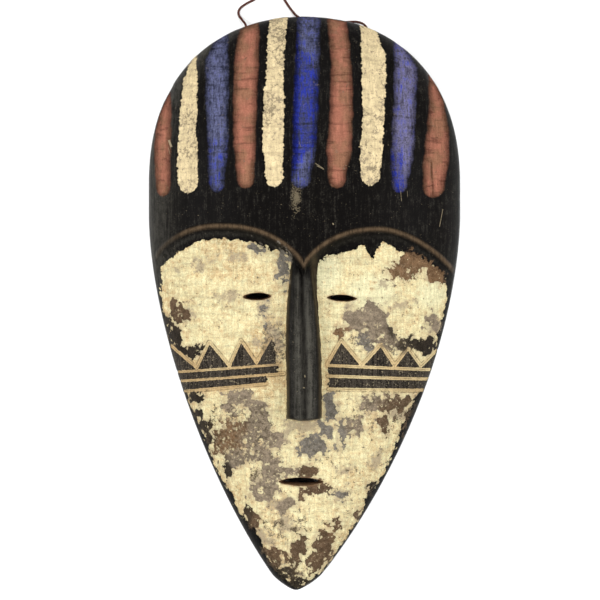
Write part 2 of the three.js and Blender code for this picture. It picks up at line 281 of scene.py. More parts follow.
# Every rounded curve of the carving is given by its rounding and its fullness.
CROWN_CURVE = (2.3, 0.46)
JAW_CURVE = (1.7, 0.86)
DOME_ALONG, DOME_ACROSS = (2.4, 0.6), (2.6, 0.55)
FACE_ALONG, FACE_ACROSS = (14, 0.5), (4, 0.65)
NOSE_ALONG, NOSE_ACROSS = (4, 0.5), (7, 0.6)
HOLLOW_ALONG, HOLLOW_ACROSS = (6, 0.5), (2.6, 0.5)

# Each brow is a pair of half arcs. They share their highest point, and each has its reach, drop,
# rounding and fullness.
LEFT_BROW = (-57.6, 53.5, ((46.1, 21.6, 2.3, 0.8), (57.2, 27.5, 2.3, 0.8)))
RIGHT_BROW = (52, 51.3, ((52.4, 25.3, 2.3, 0.8), (52.4, 30.0, 1.7, 0.85)))
BROW_STEEPEST = 1.6
HILL_COUNT = 128


def clamp(value, low=0.0, high=1.0):
    return np.clip(value, low, high)


def smooth(value):
    """A soft step from 0 to 1."""
    share = clamp(value)
    return share * share * (3 - 2 * share)


def between(low, high, share):
    return low + (high - low) * share


def rounded(share, rounding, fullness):
    """A rounded fall from 1 at share 0 to 0 at share 1."""
    return np.maximum(1 - share ** rounding, 0) ** fullness


def hills(x, y, across, along, seed):
    """Smooth random hills and hollows from -1 to 1, each about across by along in size."""
    tops = np.random.default_rng(seed).uniform(-1, 1, (HILL_COUNT, HILL_COUNT))
    u, v = x / across + HILL_COUNT / 2, y / along + HILL_COUNT / 2
    left, near = np.floor(u).astype(int), np.floor(v).astype(int)
    s, t = smooth(u - left), smooth(v - near)
    left, right = left % HILL_COUNT, (left + 1) % HILL_COUNT
    near, far = near % HILL_COUNT, (near + 1) % HILL_COUNT
    return between(between(tops[left, near], tops[right, near], s),
                   between(tops[left, far], tops[right, far], s), t)


def half_width(y, inset=0.0):
    """Half the width of the mask's outline, or of one that lies inside it."""
    full = y * TOP_Y / (TOP_Y - inset)
    top = rounded(clamp((full - TEMPLE_Y) / (TOP_Y - TEMPLE_Y)), *CROWN_CURVE)
    jaw = rounded(clamp((JAW_Y - full) / JAW_APEX), *JAW_CURVE)
    tip = np.sqrt(1 - (1 - clamp((full - CHIN_Y) / CHIN_TIP)) ** 2)
    return (HALF_WIDTH - inset) * np.where(full > TEMPLE_Y, top, jaw * tip)


def middle(y):
    """The middle line, which bends aside toward the chin."""
    return -CHIN_DRIFT * (np.minimum(y, 0) / CHIN_Y) ** 2


def outness(x, y):
    """0 on the middle line and 1 at the outline."""
    return clamp(np.abs(x - middle(y)) / np.maximum(half_width(y), 0.01))


def forehead_height(x, y):
    rise = clamp((y - FOREHEAD_Y) / (TOP_Y - FOREHEAD_Y))
    crest = FOREHEAD_Z - EDGE_Z
    return EDGE_Z + crest * rounded(rise, *DOME_ALONG) * rounded(outness(x, y), *DOME_ACROSS)


def face_height(x, y):
    fall = clamp((FOREHEAD_Y - y) / (FOREHEAD_Y - CHIN_Y))
    crest = between(BROW_FACE_Z, CHIN_FACE_Z, fall) - EDGE_Z
    return EDGE_Z + crest * rounded(fall, *FACE_ALONG) * rounded(outness(x, y), *FACE_ACROSS)


def arc(x, peak_x, peak_y, halves):
    """How far up the mask a brow runs."""
    heights = []
    for reach, drop, rounding, fullness in halves:
        away = clamp(np.abs(x - peak_x) / reach)
        heights.append(peak_y - drop * (1 - rounded(away, rounding, fullness)))
    return np.where(x < peak_x, *heights)


def brow_y(x):
    return np.where(x < BROW_MEETING_X, arc(x, *LEFT_BROW), arc(x, *RIGHT_BROW))


def above_brow(x, y):
    """Distance above the nearest brow, negative below it."""
    slope = clamp(brow_y(x + 0.5) - brow_y(x - 0.5), -BROW_STEEPEST, BROW_STEEPEST)
    return (y - brow_y(x)) / np.hypot(1, slope)


def nose_middle(y):
    return between(-0.3, -2.1, smooth((y + 60) / 80))


def nose_half(y):
    return NOSE_HALF - NOSE_TAPER * clamp((y + 35) / 55, 0, 1.2) ** 1.6


# Ten shallow gouged flutes run up the forehead and over its top edge, each filled with paint
# made of earth, chalk or washing blue. Every flute is given by its paint, heights up the
# forehead, and its left and right edges there.
PAINTS = [(0.262, 0.104, 0.068), (0.53, 0.43, 0.255), (0.066, 0.071, 0.128), (0.113, 0.106, 0.172)]
RED_EARTH, CHALK, BLUE, PALE_BLUE = range(4)
FLUTES = [
    (RED_EARTH, (73.8, 77, 91, 114, 132, 146),
     (-98, -102.3, -104, -105, -102.3, -95), (-97, -93.9, -92.8, -92.1, -91.8, -93)),
    (CHALK, (76.5, 79, 86, 100, 121, 156, 170),
     (-80, -85.5, -87.6, -88.6, -86.9, -84.5, -79), (-78, -75, -73.6, -73.6, -75, -74.3, -75.5)),
    (BLUE, (76.5, 79, 86, 107, 142, 170, 186),
     (-62, -63.9, -66.7, -67.4, -68.8, -69.5, -62), (-60, -58.3, -54.6, -52.4, -52.0, -52.4, -52.7)),
    (RED_EARTH, (79, 80.6, 87.6, 107, 142, 170, 193),
     (-42, -45, -47.1, -49.2, -49.9, -49.2, -45), (-40, -36.6, -33.9, -33.2, -32.5, -31.1, -31.1)),
    (CHALK, (80, 81.3, 87.6, 107, 135, 163, 198),
     (-22, -24.1, -26.9, -29, -29, -26.2, -24.8), (-20, -18.5, -14.9, -14.4, -14.3, -14.6, -11.4)),
    (BLUE, (79, 80.6, 87.6, 107, 142, 170, 198),
     (-3, -5.9, -9.4, -8.7, -8, -6.6, -5.9), (-2, 1, 4.5, 8.7, 10.1, 10.8, 11.5)),
    (RED_EARTH, (79, 80.6, 87.6, 107, 135, 163, 197),
     (21, 18.5, 15.7, 15, 17.1, 17.8, 15.7), (22, 24.8, 29, 33.2, 33.9, 33.2, 30.4)),
    (CHALK, (81.5, 82.7, 88.3, 107, 135, 170, 192),
     (44, 42.9, 38.7, 38.7, 40.1, 39.4, 38.7), (45, 47.1, 52.2, 54.2, 55.4, 57.2, 50)),
    (PALE_BLUE, (76, 77.8, 84.8, 100, 135, 163, 180),
     (64, 63.2, 59.6, 59.3, 61.1, 61.8, 61.8), (66, 67.4, 72.0, 75.8, 77.8, 79.2, 70)),
    (RED_EARTH, (73, 75, 82, 100, 121, 142, 158),
     (89, 87.6, 81.3, 82, 84.8, 86.2, 86.2), (90, 92.5, 97.4, 100.9, 100.9, 97.4, 90)),
]
FLUTE_DEPTH = 1.8
FLUTE_CURVE = 1.25
FLUTE_ROUND = 12.0
FLUTE_SPREAD = 0.56
NARROWEST = 6.0
END_ROUND = 8.0
EDGE_WAVE = 0.5
CHATTER = 0.16
OUTSIDE = -99.0


def wavy_edge(y, heights, edge, seed):
    """Where a flute's edge runs at height y, with the small waves of a hand-held gouge."""
    return np.interp(y, heights, edge) + EDGE_WAVE * hills(0 * y, y, 1, 5, seed)


def flutes(x, y):
    """Depth cut away, distance inside the painted edge, and paint of the flute at each point."""
    depth = np.zeros_like(x)
    inside = np.full_like(x, OUTSIDE)
    paint = np.zeros(len(x), dtype=int)
    edge = half_width(y) - np.abs(x - middle(y))
    for k, (kind, heights, lefts, rights) in enumerate(FLUTES):
        left = wavy_edge(y, heights, lefts, 40 + k)
        right = wavy_edge(y, heights, rights, 60 + k)
        aside = (x - (left + right) / 2) / (np.maximum(right - left, NARROWEST) * FLUTE_SPREAD)
        end = 1 - FLUTE_CURVE * (1 - clamp((y - heights[0] + 1) / FLUTE_ROUND)) ** 2
        chatter = 1 + CHATTER * hills(x, y, 9, 3.2, 80 + k)
        depth = np.maximum(depth, FLUTE_DEPTH * chatter * (end - FLUTE_CURVE * aside * aside))
        left = wavy_edge(y, heights[2:], lefts[2:], 40 + k)
        right = wavy_edge(y, heights[2:], rights[2:], 60 + k)
        half = (right - left) / 2 * np.sqrt(1 - (1 - clamp((y - heights[0]) / END_ROUND)) ** 2)
        within = np.minimum(half - np.abs(x - (left + right) / 2), y - heights[0])
        within = np.minimum(within, np.maximum(edge * 0.5, (TOP_Y - y) * 0.3) - 0.2)
        paint[within > inside] = kind
        inside = np.maximum(inside, within)
    return depth, inside, paint


# Three knife-cut lines and a zigzag cross each cheek, V-shaped and filled with the face's paint.
CUT_WIDTH = 2.8
CUT_DEPTH = 1.1
LEFT_LINES = [
    ((-89.0, -47.8), (-16.1, -42.2)), ((-86.5, -54.1), (-14.3, -48.5)), ((-84.5, -61.1), (-26.9, -55.5)),
]
RIGHT_LINES = [
    ((16.2, -42.9), (86.9, -46.1)), ((16.2, -50.3), (85.5, -52.7)), ((16.9, -59.3), (82.7, -60.4)),
]
LEFT_ZIGZAG = [
    (-92.8, -29.7), (-74.8, -45.0), (-66.0, -26.9), (-52.0, -43.6), (-44.0, -25.5), (-33.2, -41.5),
    (-23.4, -24.1),
]
RIGHT_ZIGZAG = [
    (16.2, -41.5), (25.3, -25.5), (39.9, -42.9), (53.0, -28.6), (62.5, -43.3), (72.0, -31.1),
    (81.0, -43.6), (92.5, -32.5),
]
CUTS = LEFT_LINES + RIGHT_LINES + [pair for z in (LEFT_ZIGZAG, RIGHT_ZIGZAG) for pair in zip(z, z[1:])]


def cut_distance(x, y):
    """Distance to the nearest cheek cut's middle line."""
    nearest = np.full_like(x, -OUTSIDE)
    for (ax, ay), (bx, by) in CUTS:
        dx, dy = bx - ax, by - ay
        share = clamp(((x - ax) * dx + (y - ay) * dy) / (dx ** 2 + dy ** 2))
        nearest = np.minimum(nearest, np.hypot(x - ax - share * dx, y - ay - share * dy))
    return nearest


# The knife leaves flat facets on the forehead and shorter ones on the face. Each size of mark is
# given by its height, its extent across and along, and a seed.
FACETS = [(0.28, 8, 22, 1), (0.12, 4, 9, 2)]
PLANED = [(0.22, 12, 16, 3), (0.10, 5, 6, 4)]
RIDGE_MARKS = [(0.35, 6, 26, 5)]
UNDER_LINE = 0.7
UNDER_LINE_PLACE = -2.6
NOSE_RISE = 1.5
NOSE_END = 3.0
GROOVE_HALF = 0.13


def tool_marks(x, y, marks):
    return sum(height * hills(x, y, across, along, seed) for height, across, along, seed in marks)


def front_height(x, y):
    """Height of the carved front over the table, with all its relief and tool marks."""
    above = above_brow(x, y)
    lift = clamp((above + COVE_WIDTH) / (COVE_WIDTH - BEAD_HALF)) ** 1.7
    fade = smooth((1 - outness(x, y)) / 0.06)
    forehead = forehead_height(x, y) + tool_marks(x, y, FACETS) * fade
    face = face_height(x, y) + tool_marks(x, y, PLANED) * fade
    bead = BEAD_HEIGHT * fade * np.sqrt(np.maximum(0, 1 - (above / BEAD_HALF) ** 2))
    under_line = np.exp(-(((above - UNDER_LINE_PLACE) / 0.7) ** 2)) * smooth((np.abs(x) - 20) / 30)
    height = between(face, forehead, lift) + bead - UNDER_LINE * fade * under_line
    height = height - np.maximum(flutes(x, y)[0], 0)
    height = height - CUT_DEPTH * clamp(1 - cut_distance(x, y) / (CUT_WIDTH / 2))
    aside = clamp((x - nose_middle(y)) / nose_half(y), -1, 1)
    tip = NOSE_TIP_Y + NOSE_TIP_BOW * aside * aside
    on_nose = (np.abs(aside) < 1) & (y > tip) & (y < NOSE_TOP_Y)
    end = rounded(1 - clamp((y - tip) / NOSE_END), *NOSE_ALONG)
    ridge = NOSE_Z + NOSE_RISE * (y - NOSE_TIP_Y) / (NOSE_TOP_Y - NOSE_TIP_Y) + tool_marks(x, y, RIDGE_MARKS)
    groove = NOSE_GROOVE * np.exp(-((aside / GROOVE_HALF) ** 2)) * end
    nose = between(face_height(x, y), ridge, rounded(np.abs(aside), *NOSE_ACROSS) * end) - groove
    return np.where(on_nose, np.maximum(height, nose), height)


# The mesh of the front is a grid bent to the outline, whose rows follow the brows and lie closest
# together where the relief is finest.
COLUMNS = 232
NOSE_SHARE = 0.2
NEAR_BROW = 12.0
NEAR_TIP = 8.0
MERGE = 0.004 * MM
chin_rows = CHIN_Y + np.array([0, 0.05, 0.2, 0.45, 0.8, 1.25, 1.8, 2.5, 3.3, 4.2, 5.2, 6.4, 7.7])
top_steps = np.arange(20, -1, -1) * 2.1 / HALF_WIDTH
top_rows = TOP_Y - (TOP_Y - TEMPLE_Y) / CROWN_CURVE[0] * top_steps ** (1 / CROWN_CURVE[1])
tip_rows = NOSE_TIP_Y + np.array([-1.0, -0.4, 0.02, 0.12, 0.35, 0.8, 1.4, 2.2, 3.2])
rows = np.concatenate([
    chin_rows, np.arange(-190.8, -84, 1.5), tip_rows, np.arange(-76.8, -65, 1.3),
    np.arange(-64.5, -22.5, 0.62), np.arange(-22, 20, 1.4), np.arange(20.5, 56, 0.8),
    np.arange(57, 191, 1.5), top_rows[top_rows > 191.5],
])


def drawn_out(share, amount):
    """A share from -1 to 1 with its steps made closer toward the ends."""
    return (1 - amount) * share + amount * np.sin(share * math.pi / 2)


def place_front(u, v):
    """Where a point of the flat grid goes on the carved front, with u and v from -1 to 1."""
    row = np.interp((v + 1) / 2 * (len(rows) - 1), np.arange(len(rows)), rows)
    bend = 1 - smooth((np.abs(row - BROW_Y) - NEAR_BROW) / (BROW_REACH - NEAR_BROW))
    off_nose = np.abs(u) > NOSE_SHARE
    spread = drawn_out(clamp((np.abs(u) - NOSE_SHARE) / (1 - NOSE_SHARE)), 0.45)
    in_nose = drawn_out(clamp(u / NOSE_SHARE, -1, 1), 0.5)

    def across(y):
        width = np.maximum(half_width(y), 0.01)
        half = np.minimum(nose_half(y), 0.2 * width)
        start = (nose_middle(y) - middle(y)) * np.minimum(half / nose_half(y), 1) / width
        core = start + in_nose * half / width
        return np.where(off_nose, between(core, np.sign(u), spread), core)

    y = row + bend * (brow_y(across(row) * half_width(row)) - BROW_Y)
    bow = NOSE_TIP_BOW * np.exp(-(((row - NOSE_TIP_Y) / NEAR_TIP) ** 2))
    y = y + bow * np.where(off_nose, np.exp(-spread * 6), in_nose ** 2)
    x = middle(y) + across(y) * half_width(y)
    return x, y


def corners_of(piece):
    """The piece's vertices as an array, in millimetres."""
    flat = np.empty(len(piece.data.vertices) * 3)
    piece.data.vertices.foreach_get("co", flat)
    return flat.reshape(-1, 3) / MM


def place_corners(piece, x, y, z):
    """Move the piece's vertices to these places, in millimetres."""
    piece.data.vertices.foreach_set("co", (np.stack([x, y, z], axis=1) * MM).ravel())
    piece.data.update()


def grid(name, columns, row_count):
    """A flat grid, and where its vertices lie across and along, from -1 to 1."""
    bpy.ops.object.select_all(action="DESELECT")
    bpy.ops.mesh.primitive_grid_add(x_subdivisions=columns, y_subdivisions=row_count, size=2)
    piece = bpy.context.object
    piece.name = name
    piece.data.name = name
    flat = corners_of(piece) * MM
    return piece, flat[:, 0], flat[:, 1]


def close_down(steps):
    """Extrude the open edge down in steps of depth and shrinking, in metres, then cap it."""
    bpy.ops.object.mode_set(mode="EDIT")
    bpy.ops.mesh.select_mode(type="VERT")
    bpy.ops.mesh.select_all(action="SELECT")
    bpy.ops.mesh.remove_doubles(threshold=MERGE)
    bpy.ops.mesh.select_all(action="DESELECT")
    bpy.ops.mesh.select_non_manifold()
    for drop, shrink in steps:
        bpy.ops.mesh.extrude_edges_move(TRANSFORM_OT_translate={"value": (0, 0, -drop)})
        bpy.ops.transform.resize(value=(shrink[0], shrink[1], 1), center_override=(0, 0, 0))
    bpy.ops.mesh.edge_face_add()
    bpy.ops.mesh.select_all(action="SELECT")
    bpy.ops.mesh.normals_make_consistent(inside=False)
    bpy.ops.object.mode_set(mode="OBJECT")


WALL_STEPS = 7
WALL_WAVE = 0.0035
FOOT = 0.9

mask, u, v = grid("lega_mask", COLUMNS, len(rows) - 1)
x, y = place_front(u, v)
place_corners(mask, x, y, front_height(x, y))
shrink = [(1 - BACK_INSET / half) ** (1 / WALL_STEPS) for half in (HALF_WIDTH, TOP_Y)]
close_down([(EDGE_Z / WALL_STEPS * MM, shrink)] * WALL_STEPS)
x, y, z = corners_of(mask).T
in_wall = (z > FOOT) & (z < EDGE_Z - 0.5)
wave = 1 + in_wall * WALL_WAVE * hills(np.arctan2(y, x) * 100, z, 7, 9, 6)
place_corners(mask, x * wave, y * wave, np.where(z < FOOT, 0, z))

# The back is hollowed out with a curved adze, the slits and the string holes are cut right
# through. Each slit is given by its middle, width, height, the face's height there, how much
# wider its lower lip opens, and its slope.
HOLLOW_COLUMNS = 64
HOLLOW_ROWS = 112
CUTTER_FOOT = -5.0
SLITS = [
    (-32.8, 4.8, 19.8, 5.2, 47, 0.45, 0.025), (26.0, 3.7, 20.8, 4.7, 47, 0.4, -0.04),
    (-2.5, -123.8, 31.4, 5.8, 35.4, 0.75, 0.0),
]
SLIT_SIDES = 56
SLIT_TAPER = 0.2
SLIT_RINGS = (0.5, 2.0, 5.0)
SLIT_MERGE = 0.001 * MM
STRING_HOLE = 1.5
HOLE_SIDES = 20
HOLE_Y = 185.0
HOLE_LENGTH = 40.0


def slit_outline(share):
    """How far a slit is open, from 1 in its middle to 0 at its ends."""
    return np.maximum(1 - share * share, 0) ** 0.68


def hollow_height(across, y):
    """Height of the hollow's ceiling over the table, with the marks of the adze."""
    inner = TOP_Y - WALL_INSET
    face = face_height(middle(y), np.minimum(y, FOREHEAD_Y))
    dome = forehead_height(0 * y, y * 1.03) - FOREHEAD_Z
    step = smooth((y - 20) / 50) * (FOREHEAD_Z - BROW_FACE_Z)
    depth = np.maximum(face + dome + step - WALL_DEPTH, 2) * rounded(np.abs(y / inner), *HOLLOW_ALONG)
    ceiling = 1 + depth * rounded(np.abs(across), *HOLLOW_ACROSS)
    gouge = np.abs(hills(across * 90, y, 9, 17, 9)) * (1 - across ** 6) * (1 - (y / inner) ** 8)
    return ceiling + gouge


hollow, u, v = grid("hollow_cutter", HOLLOW_COLUMNS, HOLLOW_ROWS)
across = np.sin(u * math.pi / 2)
y = (TOP_Y - WALL_INSET) * np.sin(v * math.pi / 2)
x = middle(y) + across * half_width(y, WALL_INSET)
place_corners(hollow, x, y, hollow_height(across, y))
close_down([((1 - CUTTER_FOOT) * MM, (1, 1))])
cutters = [hollow]

for slit_x, slit_y, width, height, face, lip, slope in SLITS:
    bpy.ops.object.select_all(action="DESELECT")
    bpy.ops.mesh.primitive_cylinder_add(vertices=SLIT_SIDES, radius=1, depth=2)
    slit = bpy.context.object
    along, aside, up = (corners_of(slit) * MM).T
    z = face + up * 2 * WALL_DEPTH
    lens = np.sign(aside) * slit_outline(along)
    lens = np.where(lens < 0, lens * (1 + lip * 2 * up), lens) * (1 + 0.12 * hills(along * 20, z, 2.5, 9, 11))
    x = slit_x + along * width / 2 * (1 + SLIT_TAPER * 2 * up)
    y = slit_y + (lens * height + slope * along * width) / 2
    place_corners(slit, x, y, z)
    bpy.ops.object.mode_set(mode="EDIT")
    for ring in SLIT_RINGS:
        bpy.ops.mesh.select_all(action="SELECT")
        bpy.ops.mesh.bisect(plane_co=(0, 0, (face - ring) * MM), plane_no=(0, 0, 1))
    bpy.ops.mesh.select_all(action="SELECT")
    bpy.ops.mesh.remove_doubles(threshold=SLIT_MERGE)
    bpy.ops.mesh.normals_make_consistent(inside=False)
    bpy.ops.object.mode_set(mode="OBJECT")
    cutters.append(slit)

for knot_x, _, knot_z in KNOT_PLACES.values():
    bpy.ops.object.select_all(action="DESELECT")
    bpy.ops.mesh.primitive_cylinder_add(vertices=HOLE_SIDES, radius=STRING_HOLE * MM, depth=HOLE_LENGTH * MM,
                                        location=(knot_x, HOLE_Y * MM, knot_z), rotation=(math.pi / 2, 0, 0))
    cutters.append(bpy.context.object)

for cutter in cutters:
    bpy.ops.object.select_all(action="DESELECT")
    bpy.context.view_layer.objects.active = mask
    mask.select_set(True)
    cut = mask.modifiers.new("cut", "BOOLEAN")
    cut.operation = "DIFFERENCE"
    cut.solver = "MANIFOLD"
    cut.object = cutter
    bpy.ops.object.modifier_apply(modifier=cut.name)
    bpy.data.objects.remove(cutter)

# The face is painted with chalky cream paint up to a ragged edge, and the cheek bands are left
# black. Much of the paint has worn through, to brown wood, a grey ground coat or the black stain.
# The margins say how far the paint stops short of the brows, the two sides and the nose.
TOP_EDGE = ((-100, -81, -79, -66, -57, -45, -24, -13, 11, 21, 32, 42, 46.5, 60, 67, 98),
            (8.5, 10.5, 8.6, 9.0, 8.6, 9.3, 8.0, 4.6, 7.6, 9.8, 11.2, 10.8, 20, 20, 11, 8))
TOP_BLOB = (56.3, 32.2, 9.0)
LEFT_MARGIN = ((-185, -172, -158, -151, -144, -137, -123, -109, -95, -60, -11, 6, 12, 20, 30),
               (6.5, 5, 8, 5, 2.6, 4.4, 2.2, 2.2, 3.4, 1, 1, 1.8, 4.4, 4.8, 4))
RIGHT_MARGIN = ((-192, -186, -165, -158, -146, -137, -129, -120, -112, -106, -90, -64, -60, -18, 5, 10,
                 16, 25),
                (4, 1.6, 1.9, 2.2, 1.8, 4.4, 4.6, 1.6, 2, 2.4, 5.4, 5, 1, 3.2, 2.4, 3.2, 7, 7.5))
NOSE_MARGIN = ((-20, 3, 13, 22, 28, 32, 36, 39, 45), (0.1, 1.0, 1.8, 2.7, 3.9, 4.7, 6.5, 10, 22))
CREAM = (0.50, 0.415, 0.232)
CREAM_WARM = (0.42, 0.30, 0.150)
CREAM_PALE = (0.53, 0.495, 0.31)
PALE_PLACES = [(16, 21, 14, 18), (46, 8, 22, 16), (88, 6, 15, 13)]

# Each worn place is an ellipse: its middle, then half its width and height. So are the islands of
# paint left in them and the smeared and flecked places, whose last number says how flecked.
BROWN_WOOD = (0.120, 0.070, 0.036)
DARK_WOOD = (0.076, 0.048, 0.028)
GREY_GROUND = (0.118, 0.106, 0.088)
PALE_GROUND = (0.160, 0.126, 0.089)
WORN_BLACK = (0.019, 0.015, 0.011)
WORN = {
    BROWN_WOOD: [
        (68.5, 22, 9.0, 4.6), (73.6, 29, 10.5, 7), (91, 22, 6.5, 8.5), (-58, -95, 6.5, 11),
        (-50, -92, 8, 11), (-44, -88, 7, 7), (25.5, -17.8, 3.5, 3.5), (19.5, -161, 3, 3.4),
    ],
    DARK_WOOD: [
        (-89, -5.5, 3.4, 6.5), (-84.5, -8, 5.4, 4.6), (-36, -151.8, 5, 6.5), (-1.8, -167, 3.3, 6.6),
        (-6.6, -177, 5, 8.5), (-21, -176, 7.5, 7), (59, -69.5, 9.5, 6.2), (69.7, -67.4, 8, 5.3),
        (1.4, -118.2, 6.6, 4.4), (6.6, -127.8, 7.4, 3.6), (-2, -134, 2.8, 3.6), (71.5, -85, 2.8, 10),
        (39, -148.3, 3, 5), (54.5, -84.5, 3.8, 6), (13.5, -170, 6.2, 9.5), (22, -155, 2.8, 4.5),
        (9, -178.8, 6, 8),
    ],
    GREY_GROUND: [
        (18.4, -71.8, 3.8, 7), (5, -99.3, 10, 8.2), (14, -86.7, 4.6, 4.6), (24.7, -88.7, 3.6, 8),
        (-14.2, 26.0, 4.8, 13.5), (-32.5, 38, 3.5, 5), (-28, -4.5, 2.0, 5.5), (25.3, -133, 5, 4),
        (42.5, -27, 6, 7.5),
    ],
    PALE_GROUND: [
        (47, -9, 9, 10.5), (40, -11, 9, 7), (48, -18.5, 9.5, 5), (56, -26, 8, 4.6),
        (32.5, -10, 4.5, 5.5), (88.5, -13, 4.6, 5.8), (43.2, -71, 4.4, 4.8), (52, -66, 9, 3.6),
        (32.6, -84.7, 9, 5.6), (-44.2, -65.4, 11, 5.6), (-51, -73.8, 3.5, 3), (-34, -71, 6, 6.3),
        (-31.4, -81, 8.5, 8), (-39, -90, 9, 8), (-22.9, -93.7, 5.7, 8.5), (-29, -103.6, 7, 7),
        (-22.9, -116.4, 8, 8.5), (-27, -130.5, 9.6, 6.2), (-11.6, -140.4, 4.6, 4),
        (-8.8, -116.0, 4.6, 3.8), (-46, -107.5, 10.5, 6.4),
    ],
    WORN_BLACK: [
        (-96.5, -15, 4, 5), (-94.5, -27, 6, 9), (-91, -20, 4.4, 8), (-81, -33.6, 10, 3.4),
        (-73, -32, 5, 3), (-75.3, -66.8, 3.6, 5), (-70, -82, 5.7, 9), (-66, -92, 3.5, 6),
        (-54.8, -115, 3.4, 5.8), (75.7, -73, 3, 9.8), (-15.5, -187.5, 8.5, 4.6), (-3, -195.8, 11.2, 5),
        (-27, -180.4, 5.6, 5.6), (87.6, -30.4, 8.6, 5.6), (71.5, -26.6, 8.2, 4.8),
        (60.4, -20, 2.0, 2.0), (48.5, -129, 4, 5), (-39.5, -150, 3, 5), (-36, -84, 3, 2.4),
        (-29, -78, 3, 2), (-33, -93, 2.4, 3.4), (-41, -110, 3, 2.4),
    ],
}
ISLANDS = [
    (-76, -70.8, 3.1, 3.5), (-67.4, -73.5, 4.5, 10), (-64.6, -98.6, 2.3, 4.2), (-41, -96, 1.6, 3),
    (-35.2, -98.8, 1.6, 3.6), (-58.6, -110, 3, 5), (54.4, -65, 2, 2.6), (74.3, -67.4, 1.6, 3.6),
    (47.8, -81.3, 3.5, 5.6), (61.5, -84, 3.2, 7), (-30, -96, 2.4, 4), (-31, -130, 3, 3.4),
    (9, -90.5, 2.5, 2), (41.5, -34, 3, 3), (-79, -22, 7.6, 8.2), (-10.8, 21, 0.9, 14),
    (-15, -178, 2, 5), (0.3, -184, 2, 5), (-10, -191.4, 1.6, 1.6), (33.6, -21, 3, 4), (72, 22, 2, 1.2),
]
SMEARED = [
    (0, -84.5, 13, 4.5), (-13, -90, 3, 7), (-73, 27, 3.5, 3.5), (-64, 29.7, 2.8, 1.7),
    (-46.4, 32.5, 5.6, 3.5), (-87, 21.3, 2.1, 2.1), (-54, 5.2, 6.3, 4.2), (-77, -6, 3.5, 4.2),
    (-28.3, -4.5, 4.9, 6.3), (56.2, 14.3, 5.6, 3.5), (90.4, -15, 5.6, 5.6), (66.7, 0.3, 7, 2.8),
    (-13, -152.5, 8.4, 6.3), (26.2, -132.3, 6.3, 5.6), (28.3, -116, 6.3, 4.2), (50.6, -107.8, 5.6, 6.3),
    (-20.6, -22, 7, 9.8), (31.8, -1, 2.8, 3.5), (34, -10, 4.2, 5.6), (63.2, -76.4, 9.8, 6.3),
    (-32.5, -25.5, 4.2, 3.5), (-27.6, -163.7, 6.3, 5.6), (-17, -140.6, 8.4, 4.2), (-31, -123, 6.3, 8.4),
    (-17, -31, 4.5, 9),
]
SCRATCHES = [
    (7.7, 96.6, 13.0, 93.0, -0.08), (8.6, 95.0, 13.2, 92.4, -0.12), (93.7, 53.4, 96.0, 65.3, -0.1),
    (-93.9, 112.7, -92.6, 109.2, 0.45), (-94.5, 108.0, -93.2, 103.5, -0.15),
    (66.5, 77.8, 67.0, 70.8, -0.15), (71.1, 77.8, 71.3, 73.6, -0.18), (19.6, 55.1, 19.9, 54.6, 0.1),
    (0.2, -49.9, 0.3, -50.6, 0.12), (-0.6, -58.2, -0.1, -58.3, 0.12),
]
FLECKED = [
    (-45, -88, 34, 30, 0.9), (48, -76, 34, 20, 0.7), (-22, -118, 24, 26, 0.7),
    (-12, -155, 26, 20, 0.75), (-14, -186, 20, 12, 0.9), (66, -30, 14, 9, 0.9), (-21, -30, 13, 24, 1.0),
    (44, -24, 22, 16, 0.7), (15, -100, 24, 16, 0.5), (40, -112, 34, 30, 0.45), (66, 20, 22, 14, 0.5),
    (-70, -10, 20, 16, 0.4), (26, -140, 26, 24, 0.5), (0, 0, 120, 70, 0.25), (0, -130, 80, 70, 0.35),
]
SMUDGES = [(-6, 73, 3.2, 10)]
LEFT_LINE_HALF = 0.85
RIGHT_LINE_HALF = 1.1
SLIT_REACH = 1.02
FAR = 9.0


def reach_inside(x, y, place):
    """1 in the middle of an ellipse, 0 at its edge and less outside it."""
    middle_x, middle_y, half_across, half_along = place
    return 1 - np.hypot((x - middle_x) / half_across, (y - middle_y) / half_along)


def patches(x, y, places):
    """Distance inside the nearest of the worn places, negative outside them."""
    inside = np.full_like(x, OUTSIDE)
    for place in places:
        inside = np.maximum(inside, reach_inside(x, y, place) * min(place[2:]))
    return inside


def spot(x, y, middle_x, middle_y, across, along):
    """1 in the middle of a soft spot, fading away outside it."""
    return np.exp(-(((x - middle_x) / across) ** 2) - ((y - middle_y) / along) ** 2)


def stretch(y, low, high, fade_in, fade_out):
    """1 between two heights up the mask, with a soft start and a soft end."""
    return smooth((y - low) / fade_in) * smooth((high - y) / fade_out)


def face_field(x, y):
    """Distance inside the cream paint of the face, before any wear."""
    left = x - middle(y) + half_width(y)
    right = middle(y) + half_width(y) - x
    aside = clamp((x - nose_middle(y)) / nose_half(y), -1, 1)
    beside_nose = np.abs(x - nose_middle(y)) - nose_half(y) + 0.1 - (x > 0) * np.interp(y, *NOSE_MARGIN)
    below_nose = NOSE_TIP_Y + NOSE_TIP_BOW * aside * aside - y
    inside = -above_brow(x, y) - np.interp(x, *TOP_EDGE)
    inside = np.maximum(inside, TOP_BLOB[2] - np.hypot(x - TOP_BLOB[0], y - TOP_BLOB[1]))
    inside = np.minimum(inside, 6 * np.maximum(beside_nose, below_nose))
    inside = np.minimum(inside, 0.9 * (left - np.interp(y, *LEFT_MARGIN)))
    return np.minimum(inside, 0.9 * (right - np.interp(y, *RIGHT_MARGIN)))


